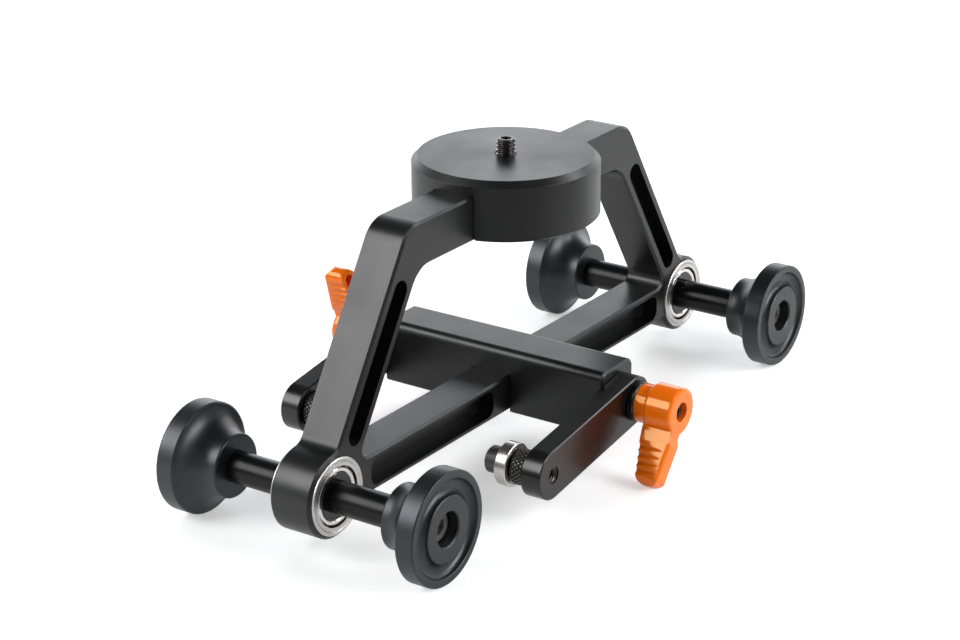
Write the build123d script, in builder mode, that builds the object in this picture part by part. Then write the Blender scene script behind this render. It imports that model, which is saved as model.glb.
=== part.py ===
from build123d import *

import math
import os

# A camera dolly that rolls along two parallel round rails.
# X runs along the frame (front is +X), Y runs across it (left is +Y), Z is up.
# Z = 0 is the plane under the four wheels, X = Y = 0 is the middle of the carriage.
# Millimetres throughout.

# ---- driving dimensions -------------------------------------------------------------

WHEELBASE = 200.0
WHEEL_RADIUS = 17.5
PLATFORM_TOP = 94.5

# frame
FRAME_WIDTH = 14.5
LEG_LEAN = 32.0  # degrees from vertical
LEG_WIDTH = 12.0
LOWER_BEAM_BOTTOM = 12.0
LOWER_BEAM_TOP = 24.0
TOP_BEAM_THICKNESS = 14.3
PLATFORM_RISE = 5.0  # platform top above the top beam
BOSS_RADIUS = 13.2
EDGE_CHAMFER = 0.75
POCKET_DEPTH = 5.5

# platform and camera stud
PLATFORM_RADIUS = 29.7
PLATFORM_THICKNESS = 19.3
STUD_RADIUS = 3.175  # 1/4 inch camera thread
STUD_ROOT_RADIUS = 2.6  # the tapped hole it sits in
STUD_RISE = 5.0
STUD_LENGTH = 20.0

# main bearings, 15 x 24 x 5
BEARING_BORE = 7.5
BEARING_OUTSIDE = 12.0
BEARING_WIDTH = 5.0
BEARING_FACE = 8.0  # distance of the outer face from the middle plane

# axles and wheels
AXLE_RADIUS = 5.0
WHEEL_INNER_FACE = 30.4
WHEEL_RIM_INNER = 40.7
WHEEL_RIM_OUTER = 47.0
WHEEL_DISC_FACE = 47.2

# cross bar and keeper arms
BAR_HALF_LENGTH = 42.0
BAR_WIDTH = 18.0
BAR_BOTTOM = 11.2
BAR_TOP = 32.25
PIVOT_HEIGHT = 22.0  # of the clamps and the keeper arms
ARM_THICKNESS = 7.0
ARM_END_RADIUS = 7.85
ARM_REACH = 48.3
ARM_DROP = 8.6  # degrees below horizontal at rest
ROLLER_RADIUS = 6.9
ROLLER_WIDTH = 4.0

# clamp levers
LEVER_REACH = 25.0
LEVER_ANGLE = {"left": 19.0, "right": 148.5}  # degrees from straight up towards the rear

RUNNING_GAP = 0.05

# ---- places worked out from them ----------------------------------------------------

AXLE_HEIGHT = WHEEL_RADIUS
AXLE_X = {"rear": -WHEELBASE / 2, "front": WHEELBASE / 2}
SIDE = {"left": 1, "right": -1}
HALF_WIDTH = FRAME_WIDTH / 2
TOP_BEAM_TOP = PLATFORM_TOP - PLATFORM_RISE
TOP_BEAM_BOTTOM = TOP_BEAM_TOP - TOP_BEAM_THICKNESS
ARM_INNER_FACE = BAR_HALF_LENGTH + RUNNING_GAP
ARM_OUTER_FACE = ARM_INNER_FACE + ARM_THICKNESS
ROLLER_X = -ARM_REACH * math.cos(math.radians(ARM_DROP))
ROLLER_Z = PIVOT_HEIGHT - ARM_REACH * math.sin(math.radians(ARM_DROP))


def save(part, label):
    """Names a finished piece and writes it."""
    part.label = label
    export_step(part, f"parts/{label}.step")


os.makedirs("parts", exist_ok=True)

# ---- general shapes -----------------------------------------------------------------


def axial_plane(origin, direction):
    """A sketch plane through an axis: its x runs along the axis, its y is the radius."""
    return Plane(origin=origin, x_dir=direction, z_dir=(1, 0, 0))


def turned(origin, direction, *outline):
    """A turned piece from the (distance along the axis, radius) corners of its section."""
    with BuildPart() as body:
        with BuildSketch(axial_plane(origin, direction)):
            with BuildLine():
                Polyline(*outline, close=True)
            make_face()
        revolve(axis=Axis(origin, direction))
    return body.part


def side_plane(side, distance):
    """The XZ plane moved out to a distance on the named side, seen from the right."""
    return Plane.XZ.offset(-SIDE[side] * distance)


def socket_screw(origin, direction, head_radius, head_height, shank_radius, length, socket):
    """A screw whose head rises from origin along direction and whose shank runs back."""
    edge = 0.12 * head_radius
    with BuildPart() as screw:
        with BuildSketch(axial_plane(origin, direction)):
            with BuildLine():
                Polyline(
                    (head_height, 0),
                    (head_height, head_radius - edge),
                    (head_height - edge, head_radius),
                    (0, head_radius),
                    (0, shank_radius),
                    (0.4 * shank_radius - length, shank_radius),
                    (-length, 0.6 * shank_radius),
                    (-length, 0),
                    close=True,
                )
            make_face()
        revolve(axis=Axis(origin, direction))
        head_top = Plane(origin=origin, z_dir=direction).offset(head_height)
        with BuildSketch(head_top):
            RegularPolygon(socket / 2, 6, major_radius=False)
        extrude(amount=-0.55 * head_height, mode=Mode.SUBTRACT)
    return screw.part


def button_screw(origin, direction, head_radius, head_height, shank_radius, length, socket):
    """A dome-headed socket screw, placed like socket_screw."""
    rim = 0.3 * head_height
    with BuildPart() as screw:
        with BuildSketch(axial_plane(origin, direction)):
            with BuildLine():
                Line((0, 0), (-length, 0))
                Line((-length, 0), (-length, shank_radius))
                Line((-length, shank_radius), (0, shank_radius))
                Line((0, shank_radius), (0, head_radius))
                Line((0, head_radius), (rim, head_radius))
                ThreePointArc(
                    (rim, head_radius),
                    (0.82 * head_height, 0.74 * head_radius),
                    (head_height, 0.45 * head_radius),
                )
                Line((head_height, 0.45 * head_radius), (head_height, 0))
                Line((head_height, 0), (0, 0))
            make_face()
        revolve(axis=Axis(origin, direction))
        head_top = Plane(origin=origin, z_dir=direction).offset(head_height)
        with BuildSketch(head_top):
            RegularPolygon(socket / 2, 6, major_radius=False)
        extrude(amount=-0.6 * head_height, mode=Mode.SUBTRACT)
    return screw.part


def race_ring(origin, direction, width, inner, outer, pitch, ball, edge=0.25):
    """One ring of a ball bearing, with its rolling groove and broken edges."""
    with BuildPart() as ring:
        with BuildSketch(axial_plane(origin, direction)):
            with BuildLine():
                Polyline(
                    (edge, inner),
                    (width - edge, inner),
                    (width, inner + edge),
                    (width, outer - edge),
                    (width - edge, outer),
                    (edge, outer),
                    (0, outer - edge),
                    (0, inner + edge),
                    close=True,
                )
            make_face()
            with Locations((width / 2, pitch)):
                Circle(ball + RUNNING_GAP / 2, mode=Mode.SUBTRACT)
        revolve(axis=Axis(origin, direction))
    return ring.part


def ball_set(origin, direction, width, pitch, ball, count):
    """The balls of one bearing, evenly spaced."""
    middle = Plane(origin=origin, z_dir=direction).offset(width / 2)
    with BuildPart() as balls:
        with Locations(middle):
            with PolarLocations(pitch, count):
                Sphere(ball)
    return balls.part


def ball_cage(origin, direction, width, pitch, ball, count):
    """The thin band that keeps the balls apart, with a round window for each ball."""
    middle = Plane(origin=origin, z_dir=direction).offset(width / 2)
    band = 0.35 * ball
    with BuildPart() as cage:
        with BuildSketch(middle):
            Circle(pitch + band)
            Circle(pitch - band, mode=Mode.SUBTRACT)
        extrude(amount=1.25 * ball, both=True)
        with Locations(middle):
            with PolarLocations(pitch, count):
                Cylinder(ball + RUNNING_GAP, 4 * band, rotation=(0, 90, 0), mode=Mode.SUBTRACT)
    return cage.part


# ---- frame --------------------------------------------------------------------------

lean = math.radians(LEG_LEAN)
half_leg = LEG_WIDTH / 2 / math.cos(lean)  # half of the leg's width, measured along X


def leg_x(height, offset):
    """X of the front leg's centre line at a height, moved out by an offset along X."""
    return WHEELBASE / 2 - (height - AXLE_HEIGHT) * math.tan(lean) + offset


OUTER_TOP_X = leg_x(TOP_BEAM_TOP, half_leg)
OUTER_FOOT_X = leg_x(LOWER_BEAM_BOTTOM, half_leg)
INNER_TOP_X = leg_x(TOP_BEAM_BOTTOM, -half_leg)
INNER_FOOT_X = leg_x(LOWER_BEAM_TOP, -half_leg)

OUTER_CORNER_RADIUS = 9.5
INNER_CORNER_RADIUS = 10.5
FOOT_CORNER_RADIUS = 3.0
BOSS_BLEND_RADIUS = 5.0

LEG_POCKET_WIDTH = 6.5
LEG_POCKET_START = 18.6  # from the axle, along the leg, to the centre of the round end
LEG_POCKET_END = 63.0
BEAM_POCKET_HEIGHT = 8.8
BEAM_POCKET_START = 18.0
BEAM_POCKET_END = 82.9

M5 = 2.5
M4 = 2.0
PLATFORM_SCREW_X = 16.5
BAR_SCREW_X = 6.5
SCREW_CLEARANCE = 0.2  # round a screw that passes through a plain hole
STUD_TIP = PLATFORM_TOP + STUD_RISE
STUD_HOLE_FLOOR = STUD_TIP - STUD_LENGTH - 0.6

with BuildPart() as main_frame:
    with BuildSketch(Plane.XZ):
        with BuildLine():
            Polyline(
                (-OUTER_FOOT_X, LOWER_BEAM_BOTTOM),
                (OUTER_FOOT_X, LOWER_BEAM_BOTTOM),
                (OUTER_TOP_X, TOP_BEAM_TOP),
                (-OUTER_TOP_X, TOP_BEAM_TOP),
                close=True,
            )
        make_face()
        with Locations(*[(x, AXLE_HEIGHT) for x in AXLE_X.values()]):
            Circle(BOSS_RADIUS)
        top_corners = vertices().group_by(Axis.Y)[-1]
        fillet(top_corners, radius=OUTER_CORNER_RADIUS)
        leg_meets_boss = vertices().filter_by(lambda v: 20 < v.Y < 50)
        fillet(leg_meets_boss, radius=BOSS_BLEND_RADIUS)
        beam_meets_boss = vertices().group_by(Axis.Y)[1].filter_by(lambda v: abs(v.X) < WHEELBASE / 2)
        fillet(beam_meets_boss, radius=FOOT_CORNER_RADIUS)
    extrude(amount=HALF_WIDTH, both=True)
    with BuildSketch(Plane.XZ):
        with BuildLine():
            Polyline(
                (-INNER_FOOT_X, LOWER_BEAM_TOP),
                (INNER_FOOT_X, LOWER_BEAM_TOP),
                (INNER_TOP_X, TOP_BEAM_BOTTOM),
                (-INNER_TOP_X, TOP_BEAM_BOTTOM),
                close=True,
            )
        make_face()
        fillet(vertices().group_by(Axis.Y)[0], radius=FOOT_CORNER_RADIUS)
        fillet(vertices().group_by(Axis.Y)[-1], radius=INNER_CORNER_RADIUS)
    extrude(amount=HALF_WIDTH, both=True, mode=Mode.SUBTRACT)
    side_faces = faces().filter_by(Axis.Y).group_by(Axis.Y)
    chamfer(side_faces[0].edges() + side_faces[-1].edges(), length=EDGE_CHAMFER)

    # weight-saving pockets in both faces of the legs and of the lower beam
    leg_middle = (LEG_POCKET_START + LEG_POCKET_END) / 2
    beam_middle = (BEAM_POCKET_START + BEAM_POCKET_END) / 2
    for side in SIDE:
        for end in (-1, 1):
            with BuildSketch(side_plane(side, HALF_WIDTH)):
                leg_x_middle = end * (WHEELBASE / 2 - leg_middle * math.sin(lean))
                leg_z_middle = AXLE_HEIGHT + leg_middle * math.cos(lean)
                with Locations((leg_x_middle, leg_z_middle)):
                    SlotCenterToCenter(
                        LEG_POCKET_END - LEG_POCKET_START,
                        LEG_POCKET_WIDTH,
                        rotation=90 + end * LEG_LEAN,
                    )
                with Locations((end * beam_middle, (LOWER_BEAM_BOTTOM + LOWER_BEAM_TOP) / 2)):
                    RectangleRounded(BEAM_POCKET_END - BEAM_POCKET_START, BEAM_POCKET_HEIGHT, 3.2)
            extrude(amount=SIDE[side] * POCKET_DEPTH, mode=Mode.SUBTRACT)

    # bearing seats, with a rib left between the two bearings of an axle
    for axle_x in AXLE_X.values():
        for side in SIDE:
            with BuildSketch(side_plane(side, HALF_WIDTH)):
                with Locations((axle_x, AXLE_HEIGHT)):
                    Circle(BEARING_OUTSIDE)
            seat_depth = HALF_WIDTH - (BEARING_FACE - BEARING_WIDTH)
            extrude(amount=SIDE[side] * seat_depth, mode=Mode.SUBTRACT)
        with BuildSketch(Plane.XZ):
            with Locations((axle_x, AXLE_HEIGHT)):
                Circle(BEARING_OUTSIDE - 1.6)
        extrude(amount=HALF_WIDTH, both=True, mode=Mode.SUBTRACT)

    # holes for the screws that come up through both beams, and the camera stud's blind hole
    with BuildSketch(Plane.XY.offset(TOP_BEAM_BOTTOM)):
        with Locations((-PLATFORM_SCREW_X, 0), (PLATFORM_SCREW_X, 0)):
            Circle(M5 + SCREW_CLEARANCE)
    extrude(amount=TOP_BEAM_THICKNESS, mode=Mode.SUBTRACT)
    with BuildSketch(Plane.XY.offset(STUD_HOLE_FLOOR)):
        Circle(STUD_ROOT_RADIUS)
    extrude(amount=TOP_BEAM_THICKNESS, mode=Mode.SUBTRACT)
    with BuildSketch(Plane.XY.offset(LOWER_BEAM_BOTTOM)):
        with Locations((-BAR_SCREW_X, 0), (BAR_SCREW_X, 0)):
            Circle(M4 + SCREW_CLEARANCE)
    extrude(amount=LOWER_BEAM_TOP - LOWER_BEAM_BOTTOM, mode=Mode.SUBTRACT)

# ---- platform -----------------------------------------------------------------------

PLATFORM_EDGE = 1.9
PLATFORM_LOWER_EDGE = 0.8
SADDLE_WIDTH = FRAME_WIDTH + 0.3
SCREW_GRIP = 3.6  # thread length of the platform screws above the beam
STUD_COUNTERSINK = 1.15  # opens the hole wider than the thread, so a camera sits flat

with BuildPart() as platform:
    with BuildSketch(Plane.XY.offset(PLATFORM_TOP)):
        Circle(PLATFORM_RADIUS)
    extrude(amount=-PLATFORM_THICKNESS)
    rims = edges().filter_by(GeomType.CIRCLE).sort_by(Axis.Z)
    chamfer(rims[-1], length=PLATFORM_EDGE)
    chamfer(rims[0], length=PLATFORM_LOWER_EDGE)
    with BuildSketch(Plane.XY.offset(TOP_BEAM_TOP)):
        Rectangle(3 * PLATFORM_RADIUS, SADDLE_WIDTH)
    extrude(amount=-PLATFORM_THICKNESS, mode=Mode.SUBTRACT)
    with BuildSketch(Plane.XY.offset(TOP_BEAM_TOP)):
        Circle(STUD_ROOT_RADIUS)
    extrude(amount=PLATFORM_RISE, mode=Mode.SUBTRACT)
    hole_mouth = edges().filter_by(GeomType.CIRCLE).group_by(Axis.Z)[-1].sort_by(SortBy.RADIUS)[0]
    chamfer(hole_mouth, length=STUD_COUNTERSINK)
    with BuildSketch(Plane.XY.offset(TOP_BEAM_TOP)):
        with Locations((-PLATFORM_SCREW_X, 0), (PLATFORM_SCREW_X, 0)):
            Circle(M5)
    extrude(amount=SCREW_GRIP + 0.2, mode=Mode.SUBTRACT)


def paired_screws(offset_x, seat_height, head_radius, head_height, shank_radius, length):
    """Two button-head screws, heads down, at plus and minus offset_x."""
    socket = 1.2 * shank_radius
    with BuildPart() as pair:
        for x in (-offset_x, offset_x):
            seat = (x, 0, seat_height)
            head = (head_radius, head_height)
            add(button_screw(seat, (0, 0, -1), *head, shank_radius, length, socket))
    return pair.part


platform_screws = paired_screws(
    PLATFORM_SCREW_X, TOP_BEAM_BOTTOM, 5.0, 3.3, M5, TOP_BEAM_THICKNESS + SCREW_GRIP
)

# The camera stud is a socket set screw: below the platform's face it is drawn at the
# radius of its tapped hole, above it at the radius of its thread.
STUD_TIP_CHAMFER = 0.9
STUD_SOCKET = 3.2  # across flats
STUD_SOCKET_DEPTH = 2.6
stud_thread_start = PLATFORM_TOP + RUNNING_GAP
with BuildPart() as camera_stud:
    with BuildSketch(Plane.XY.offset(STUD_TIP - STUD_LENGTH)):
        Circle(STUD_ROOT_RADIUS)
    extrude(amount=stud_thread_start - (STUD_TIP - STUD_LENGTH))
    with BuildSketch(Plane.XY.offset(stud_thread_start)):
        Circle(STUD_RADIUS)
    extrude(amount=STUD_TIP - stud_thread_start)
    chamfer(edges().filter_by(GeomType.CIRCLE).sort_by(Axis.Z)[-1], length=STUD_TIP_CHAMFER)
    with BuildSketch(Plane.XY.offset(STUD_TIP)):
        RegularPolygon(STUD_SOCKET / 2, 6, major_radius=False)
    extrude(amount=-STUD_SOCKET_DEPTH, mode=Mode.SUBTRACT)

# ---- cross bar ----------------------------------------------------------------------

BAR_EDGE_RADIUS = 2.5
BAR_END_CHAMFER = 0.7
CLAMP_STUD_RADIUS = 3.0  # M6
CLAMP_STUD_GRIP = 12.0
BAR_SCREW_GRIP = 6.0

with BuildPart() as cross_bar:
    with BuildSketch(Plane.XZ):
        with Locations((0, (BAR_BOTTOM + BAR_TOP) / 2)):
            Rectangle(BAR_WIDTH, BAR_TOP - BAR_BOTTOM)
        fillet(vertices().group_by(Axis.Y)[-1], radius=BAR_EDGE_RADIUS)
        chamfer(vertices().group_by(Axis.Y)[0], length=0.5)
    extrude(amount=BAR_HALF_LENGTH, both=True)
    bar_ends = faces().filter_by(Axis.Y).sort_by(Axis.Y)
    chamfer(bar_ends[0].edges() + bar_ends[-1].edges(), length=BAR_END_CHAMFER)
    # saddle that drops over the lower beam
    with BuildSketch(Plane.XY.offset(LOWER_BEAM_TOP)):
        Rectangle(2 * BAR_WIDTH, SADDLE_WIDTH)
    extrude(amount=-BAR_TOP, mode=Mode.SUBTRACT)
    with BuildSketch(Plane.XY.offset(LOWER_BEAM_TOP)):
        with Locations((-BAR_SCREW_X, 0), (BAR_SCREW_X, 0)):
            Circle(M4)
    extrude(amount=BAR_SCREW_GRIP + 0.2, mode=Mode.SUBTRACT)
    # blind holes for the clamp studs, a running fit because the studs turn in them
    for side in SIDE:
        with BuildSketch(side_plane(side, BAR_HALF_LENGTH)):
            with Locations((0, PIVOT_HEIGHT)):
                Circle(CLAMP_STUD_RADIUS + RUNNING_GAP)
        extrude(amount=SIDE[side] * (CLAMP_STUD_GRIP + 1), mode=Mode.SUBTRACT)

cross_bar_screws = paired_screws(
    BAR_SCREW_X,
    LOWER_BEAM_BOTTOM,
    4.0,
    2.8,
    M4,
    LOWER_BEAM_TOP - LOWER_BEAM_BOTTOM + BAR_SCREW_GRIP,
)

# ---- axles, wheels and main bearings ------------------------------------------------

MAIN_PITCH = 9.75
MAIN_BALL = 1.2
MAIN_BALL_COUNT = 16
MAIN_INNER_LAND = 8.85
MAIN_OUTER_LAND = 10.7
MAIN_SHIELD_BORE = 9.45
INNER_RING_SETBACK = 0.45  # the inner rings are narrower, so their faces sit back
SLEEVE_RIB_RADIUS = 8.5

WHEEL_WEB_START = 35.8  # where the axle stops inside the wheel
WHEEL_WEB_END = 38.8  # floor of the outer counterbore
COUNTERBORE_RADIUS = 5.3
COUNTERBORE_EDGE = 0.4
COLLAR_WIDTH = 0.9
COLLAR_EDGE = 0.6
WAIST_RADIUS = 10.1
COVE_RADIUS = 9.4  # the radius of the rail's tubes
RIM_EDGE = 0.45
RECESS_RADIUS = 15.15
RECESS_DEPTH = 2.15
DISC_RADIUS = 10.2
M6 = 3.0


def wheel(axle_x, side):
    """A grooved wheel: a rim, a deep cove that rides on the round rail, and a hub."""
    origin = (axle_x, 0, AXLE_HEIGHT)
    direction = (0, SIDE[side], 0)
    cove_start = (WHEEL_INNER_FACE + COLLAR_WIDTH, WAIST_RADIUS)
    cove_end = (WHEEL_RIM_INNER, WHEEL_RADIUS - RIM_EDGE)
    recess_start = (WHEEL_RIM_OUTER, RECESS_RADIUS)
    recess_floor = (WHEEL_RIM_OUTER - RECESS_DEPTH, (RECESS_RADIUS + DISC_RADIUS) / 2)
    recess_end = (WHEEL_RIM_OUTER, DISC_RADIUS)
    with BuildPart() as body:
        with BuildSketch(axial_plane(origin, direction)):
            with BuildLine():
                Polyline(
                    (WHEEL_INNER_FACE, AXLE_RADIUS),
                    (WHEEL_INNER_FACE, WAIST_RADIUS),
                    cove_start,
                )
                # the cove starts flat at the waist and ends steep at the rim
                RadiusArc(cove_start, cove_end, -COVE_RADIUS)
                Polyline(
                    cove_end,
                    (WHEEL_RIM_INNER + RIM_EDGE, WHEEL_RADIUS),
                    (WHEEL_RIM_OUTER, WHEEL_RADIUS),
                    recess_start,
                )
                ThreePointArc(recess_start, recess_floor, recess_end)
                Polyline(
                    recess_end,
                    (WHEEL_DISC_FACE, DISC_RADIUS - 0.25),
                    (WHEEL_DISC_FACE, COUNTERBORE_RADIUS + COUNTERBORE_EDGE),
                    (WHEEL_DISC_FACE - COUNTERBORE_EDGE, COUNTERBORE_RADIUS),
                    (WHEEL_WEB_END, COUNTERBORE_RADIUS),
                    (WHEEL_WEB_END, M6 + SCREW_CLEARANCE),
                    (WHEEL_WEB_START, M6 + SCREW_CLEARANCE),
                    (WHEEL_WEB_START, AXLE_RADIUS),
                    (WHEEL_INNER_FACE, AXLE_RADIUS),
                )
            make_face()
            collar_edge = vertices().group_by(Axis.X)[0].sort_by(Axis.Y)[-1]
            fillet(collar_edge, radius=COLLAR_EDGE)
            rim_face = vertices().filter_by(lambda v: abs(v.X - WHEEL_RIM_OUTER) < 0.01)
            fillet(rim_face.sort_by(Axis.Y)[-2:], radius=RIM_EDGE)
        revolve(axis=Axis(origin, direction))
    return body.part


def axle(axle_x):
    """The round axle, drilled at both ends for the wheel screws."""
    with BuildPart() as body:
        with BuildSketch(Plane.XZ):
            with Locations((axle_x, AXLE_HEIGHT)):
                Circle(AXLE_RADIUS)
        extrude(amount=WHEEL_WEB_START, both=True)
        for side in SIDE:
            with BuildSketch(side_plane(side, WHEEL_WEB_START)):
                with Locations((axle_x, AXLE_HEIGHT)):
                    Circle(M6)
            extrude(amount=SIDE[side] * 13.0, mode=Mode.SUBTRACT)
    return body.part


def axle_sleeve(axle_x):
    """The black bush that fills both bearing bores, with a rib between the bearings."""
    rib_end = BEARING_FACE - BEARING_WIDTH + INNER_RING_SETBACK
    face = BEARING_FACE - INNER_RING_SETBACK
    edge = 0.3
    return turned(
        (axle_x, 0, AXLE_HEIGHT),
        (0, 1, 0),
        (-face, AXLE_RADIUS),
        (-face, BEARING_BORE - edge),
        (edge - face, BEARING_BORE),
        (-rib_end, BEARING_BORE),
        (-rib_end, SLEEVE_RIB_RADIUS),
        (rib_end, SLEEVE_RIB_RADIUS),
        (rib_end, BEARING_BORE),
        (face - edge, BEARING_BORE),
        (face, BEARING_BORE - edge),
        (face, AXLE_RADIUS),
    )


def shield(origin, direction, width, inner, outer):
    """The two thin dust shields of a bearing, set just inside its faces."""
    thickness = 0.3
    inset = 0.06
    with BuildPart() as pair:
        for start in (inset, width - inset - thickness):
            add(
                turned(
                    origin,
                    direction,
                    (start, inner),
                    (start, outer),
                    (start + thickness, outer),
                    (start + thickness, inner),
                )
            )
    return pair.part


for end, axle_x in AXLE_X.items():
    save(axle(axle_x), f"{end}_axle")
    save(axle_sleeve(axle_x), f"{end}_axle_sleeve")
    for side, sign in SIDE.items():
        where = f"{end}_{side}"
        direction = (0, sign, 0)
        bearing_start = BEARING_FACE - BEARING_WIDTH
        inner_ring_start = bearing_start + INNER_RING_SETBACK
        inner_width = BEARING_WIDTH - 2 * INNER_RING_SETBACK
        bearing = ((axle_x, sign * bearing_start, AXLE_HEIGHT), direction, BEARING_WIDTH)
        inner_ring = ((axle_x, sign * inner_ring_start, AXLE_HEIGHT), direction, inner_width)
        balls = (MAIN_PITCH, MAIN_BALL, MAIN_BALL_COUNT)
        save(wheel(axle_x, side), f"wheel_{where}")
        save(
            race_ring(*inner_ring, BEARING_BORE, MAIN_INNER_LAND, MAIN_PITCH, MAIN_BALL),
            f"bearing_inner_ring_{where}",
        )
        save(
            race_ring(*bearing, MAIN_OUTER_LAND, BEARING_OUTSIDE, MAIN_PITCH, MAIN_BALL),
            f"bearing_outer_ring_{where}",
        )
        save(
            shield(*bearing, MAIN_SHIELD_BORE, MAIN_OUTER_LAND),
            f"bearing_shields_{where}",
        )
        save(ball_set(*bearing, *balls), f"bearing_balls_{where}")
        save(ball_cage(*bearing, *balls), f"bearing_cage_{where}")
    with BuildPart() as wheel_screws:
        for side, sign in SIDE.items():
            seat = (axle_x, sign * WHEEL_WEB_END, AXLE_HEIGHT)
            add(socket_screw(seat, (0, sign, 0), 5.0, 5.0, M6, 15.0, 5.0))
    save(wheel_screws.part, f"{end}_wheel_screws")

# ---- keeper arms and their rollers --------------------------------------------------

SPACER_RADIUS = 5.7
SPACER_LENGTH = 6.2
ROLLER_PITCH = 4.75
ROLLER_BALL = 1.0
ROLLER_BALL_COUNT = 9
ROLLER_INNER_LAND = 3.75
ROLLER_OUTER_LAND = 5.75


def keeper_arm(side):
    """A flat arm with round ends: the pivot hole at the bar, the roller hole at the tip."""
    arm_middle = (ROLLER_X / 2, (ROLLER_Z + PIVOT_HEIGHT) / 2)
    outward = -SIDE[side] * ARM_THICKNESS
    with BuildPart() as arm:
        with BuildSketch(side_plane(side, ARM_INNER_FACE)):
            with Locations(arm_middle):
                SlotCenterToCenter(ARM_REACH, 2 * ARM_END_RADIUS, rotation=ARM_DROP)
        extrude(amount=outward)
        broken = faces().filter_by(Axis.Y).edges()
        chamfer(broken, length=0.35)
        with BuildSketch(side_plane(side, ARM_INNER_FACE)):
            with Locations((0, PIVOT_HEIGHT)):
                Circle(CLAMP_STUD_RADIUS + RUNNING_GAP)
            with Locations((ROLLER_X, ROLLER_Z)):
                Circle(M5)
        extrude(amount=outward, mode=Mode.SUBTRACT)
        with BuildSketch(side_plane(side, ARM_OUTER_FACE)):
            with Locations((ROLLER_X, ROLLER_Z)):
                Circle(M5 + SCREW_CLEARANCE)
        extrude(amount=SIDE[side] * 0.5, mode=Mode.SUBTRACT)
    return arm.part


for side, sign in SIDE.items():
    inward = (0, -sign, 0)
    at_arm = (ROLLER_X, sign * ARM_INNER_FACE, ROLLER_Z)
    at_bearing = (ROLLER_X, sign * (ARM_INNER_FACE - SPACER_LENGTH), ROLLER_Z)
    head_seat = (
        ROLLER_X,
        sign * (ARM_INNER_FACE - SPACER_LENGTH - ROLLER_WIDTH - 0.4),
        ROLLER_Z,
    )
    bearing = (at_bearing, inward, ROLLER_WIDTH)
    balls = (ROLLER_PITCH, ROLLER_BALL, ROLLER_BALL_COUNT)
    screw_length = SPACER_LENGTH + ROLLER_WIDTH + 0.4 + 5.0
    save(keeper_arm(side), f"keeper_arm_{side}")
    save(
        turned(
            at_arm,
            inward,
            (0, M5),
            (0, SPACER_RADIUS - 0.4),
            (0.4, SPACER_RADIUS),
            (SPACER_LENGTH - 0.8, SPACER_RADIUS),
            (SPACER_LENGTH - 0.4, 3.5),
            (SPACER_LENGTH, 3.5),
            (SPACER_LENGTH, M5),
        ),
        f"knurled_spacer_{side}",
    )
    save(
        race_ring(*bearing, M5, ROLLER_INNER_LAND, ROLLER_PITCH, ROLLER_BALL),
        f"roller_inner_ring_{side}",
    )
    save(
        race_ring(*bearing, ROLLER_OUTER_LAND, ROLLER_RADIUS, ROLLER_PITCH, ROLLER_BALL),
        f"roller_outer_ring_{side}",
    )
    save(
        shield(*bearing, ROLLER_INNER_LAND + 0.15, ROLLER_OUTER_LAND),
        f"roller_shields_{side}",
    )
    save(ball_set(*bearing, *balls), f"roller_balls_{side}")
    save(
        turned(
            (ROLLER_X, sign * (ARM_INNER_FACE - SPACER_LENGTH - ROLLER_WIDTH), ROLLER_Z),
            inward,
            (0, M5),
            (0, 3.5),
            (0.4, 3.5),
            (0.4, M5),
        ),
        f"roller_washer_{side}",
    )
    save(
        socket_screw(head_seat, inward, 4.25, 5.0, M5, screw_length, 4.0),
        f"roller_screw_{side}",
    )

# ---- clamp levers -------------------------------------------------------------------

# Distances below run outwards from the arm's outer face, along the clamp's axis.
FLANGE_END = 2.1
FLANGE_RADIUS = 6.4
SPLINE_END = 4.3
SPLINE_ROOT = 4.2
SPLINE_DEPTH = 0.6
SPLINE_TOOTH = 1.1
SPLINE_TEETH = 12
SPLINE_GAP = 0.08
POST_END = 7.4
POST_RADIUS = 3.9
HANDLE_START = FLANGE_END + RUNNING_GAP
COLLAR_RADIUS = 6.3
HUB_START = 6.9
HUB_RADIUS = 7.6
HANDLE_WEB_START = 7.6
HANDLE_WEB_END = 8.6
SPRING_END = 12.5
HANDLE_END = 16.2
MOUTH_RADIUS = 3.15
LEVER_SCREW_RADIUS = 1.5
LEVER_HALF_THICKNESS = 3.3
LEVER_WALL = 1.5
LEVER_TIP_WALL = 1.7
GRIP_OUTER_WALL = 14.7
NECK_HALF_THICKNESS = 2.8
NECK_START = 8.2
GRIP_START = 11.4  # radius where the neck widens into the grip
GRIP_SHOULDER = 17.1  # the outer face stands out furthest here, then slopes in to the tip
GRIP_TIP_OUTER = 16.2
GRIP_EDGE = 1.2
GROOVE_START = 13.6
GROOVE_PITCH = 2.4
GROOVE_COUNT = 4
GROOVE_RADIUS = 1.5  # each groove is a cone: this wide towards the arm ...
GROOVE_END_RADIUS = 0.35  # ... and this wide at the outer face
GROOVE_FLOOR = 4.0
GROOVE_STANDOFF = 0.5  # of the cone's axis from the flank


def clamp_origin(side):
    """Where the clamp's axis meets the arm's outer face."""
    return Vector(0, SIDE[side] * (ARM_OUTER_FACE + RUNNING_GAP), PIVOT_HEIGHT)


def clamp_axis(side):
    return Vector(0, SIDE[side], 0)


def lever_radial(side):
    """The direction from the clamp's axis towards the tip of the handle."""
    angle = math.radians(LEVER_ANGLE[side])
    return Vector(-math.sin(angle), 0, math.cos(angle))


def lever_section_plane(side):
    """x runs outwards along the clamp's axis, y towards the tip of the handle."""
    out, radial = clamp_axis(side), lever_radial(side)
    return Plane(origin=clamp_origin(side), x_dir=out, z_dir=out.cross(radial))


def lever_face_plane(side):
    """Square to the clamp's axis: y runs towards the tip of the handle."""
    out, radial = clamp_axis(side), lever_radial(side)
    return Plane(origin=clamp_origin(side), x_dir=radial.cross(out), z_dir=out)


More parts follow.
